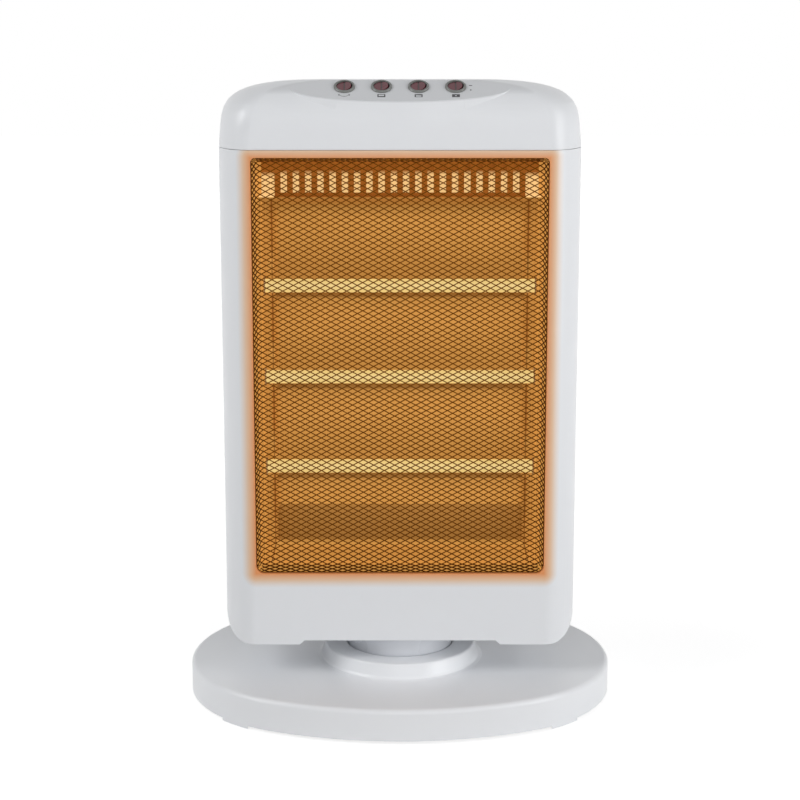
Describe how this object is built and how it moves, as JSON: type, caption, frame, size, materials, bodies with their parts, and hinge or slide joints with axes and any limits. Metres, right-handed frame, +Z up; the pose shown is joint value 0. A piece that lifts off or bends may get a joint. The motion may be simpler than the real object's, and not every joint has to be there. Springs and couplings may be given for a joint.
{
  "type": "halogen heater",
  "caption": "Tall free-standing halogen heater: tubes in a folded reflector behind a diamond mesh, rocker switches on a sloped cap, head swinging on an oval foot.",
  "frame": {"origin": "bottom centre of the foot, on the floor, under the swing axis", "axes": "+Z up, +X right seen from the front, the front faces -Y"},
  "size_m": [0.355, 0.264, 0.5168],
  "materials": {
    "white_shell": "smooth satin-gloss moulded plastic",
    "hub_shell": "glossy moulded plastic",
    "inner_plastic": "plain moulded plastic",
    "dark_plastic": "black moulded plastic",
    "ceramic": "unglazed steatite",
    "bezel": "grey moulded plastic",
    "rocker": "dark red translucent plastic",
    "rubber": "soft rubber",
    "mesh": "bright plated expanded steel",
    "mirror": "polished sheet",
    "steel": "zinc-plated sheet",
    "quartz": "clear quartz",
    "tungsten": "hot coiled wire",
    "brass": "stamped terminal",
    "wire": "silicone insulation"
  },
  "bodies": {
    "foot": {"base_cover": "white_shell", "base_plate": "dark_plastic", "foot_pads": "rubber", "base_screws": "steel", "cord_bush": "white_shell", "base_lead": "wire", "thrust_washer": "inner_plastic", "swing_motor": "steel", "motor_screws": "steel", "tip_housing": "dark_plastic"},
    "head": {"swivel_hub": "hub_shell", "swing_arm": "steel", "retaining_ring": "steel", "hub_screws": "steel", "head_floor": "steel", "front_frame": "white_shell", "rear_cover": "white_shell", "rear_screws": "steel", "top_cover": "white_shell", "cap_screws": "steel", "mesh_guard": "mesh", "reflector": "mirror", "vent_comb": "mirror", "heat_shield": "steel", "bracket_left": "steel", "bracket_right": "steel", "ceramic_caps_left": "ceramic", "ceramic_caps_right": "ceramic", "thermal_cutout": "dark_plastic", "terminal_block": "inner_plastic", "wiring_loom": "wire", "switch_terminals": "brass", "tube_1": "quartz", "filament_1": "tungsten", "tube_2": "quartz", "filament_2": "tungsten", "tube_3": "quartz", "filament_3": "tungsten", "switch_body_1": "bezel", "switch_body_2": "bezel", "switch_body_3": "bezel", "switch_body_4": "bezel"},
    "crank": {"motor_shaft": "steel", "crank_arm": "inner_plastic"},
    "plunger": {"tip_plunger": "inner_plastic", "tip_spring": "steel"},
    "rocker_1": {"rocker_1": "rocker"},
    "rocker_2": {"rocker_2": "rocker"},
    "rocker_3": {"rocker_3": "rocker"},
    "rocker_4": {"rocker_4": "rocker"}
  },
  "joints": [
    {"name": "swing", "type": "hinge", "parent": "foot", "child": "head", "pos_m": [0, 0, 0.05], "axis": [0, 0, 1], "range_deg": [-35, 35]},
    {"name": "crank_turn", "type": "hinge", "parent": "foot", "child": "crank", "pos_m": [0, 0.048, 0.02], "axis": [0, 0, 1], "range_deg": [-105, 105]},
    {"name": "tip_plunger_slide", "type": "slide", "parent": "foot", "child": "plunger", "axis": [0, 0, -1], "range_m": [0, 0.004], "stiffness_N_per_m": 20, "springref_m": 0.006, "deforming": ["tip_spring"]},
    {"name": "rocker_1_tilt", "type": "hinge", "parent": "head", "child": "rocker_1", "pos_m": [-0.0438, -0.03713, 0.50957], "axis": [0, 0.848, 0.5299], "range_deg": [0, 16]},
    {"name": "rocker_2_tilt", "type": "hinge", "parent": "head", "child": "rocker_2", "pos_m": [-0.0146, -0.03713, 0.50957], "axis": [0, 0.848, 0.5299], "range_deg": [0, 16]},
    {"name": "rocker_3_tilt", "type": "hinge", "parent": "head", "child": "rocker_3", "pos_m": [0.0146, -0.03713, 0.50957], "axis": [0, 0.848, 0.5299], "range_deg": [0, 16]},
    {"name": "rocker_4_tilt", "type": "hinge", "parent": "head", "child": "rocker_4", "pos_m": [0.0438, -0.03713, 0.50957], "axis": [0, 0.848, 0.5299], "range_deg": [0, 16]}
  ],
  "couplings": [
    {"joint": "crank_turn", "follows": "swing", "ratio": 3}
  ]
}
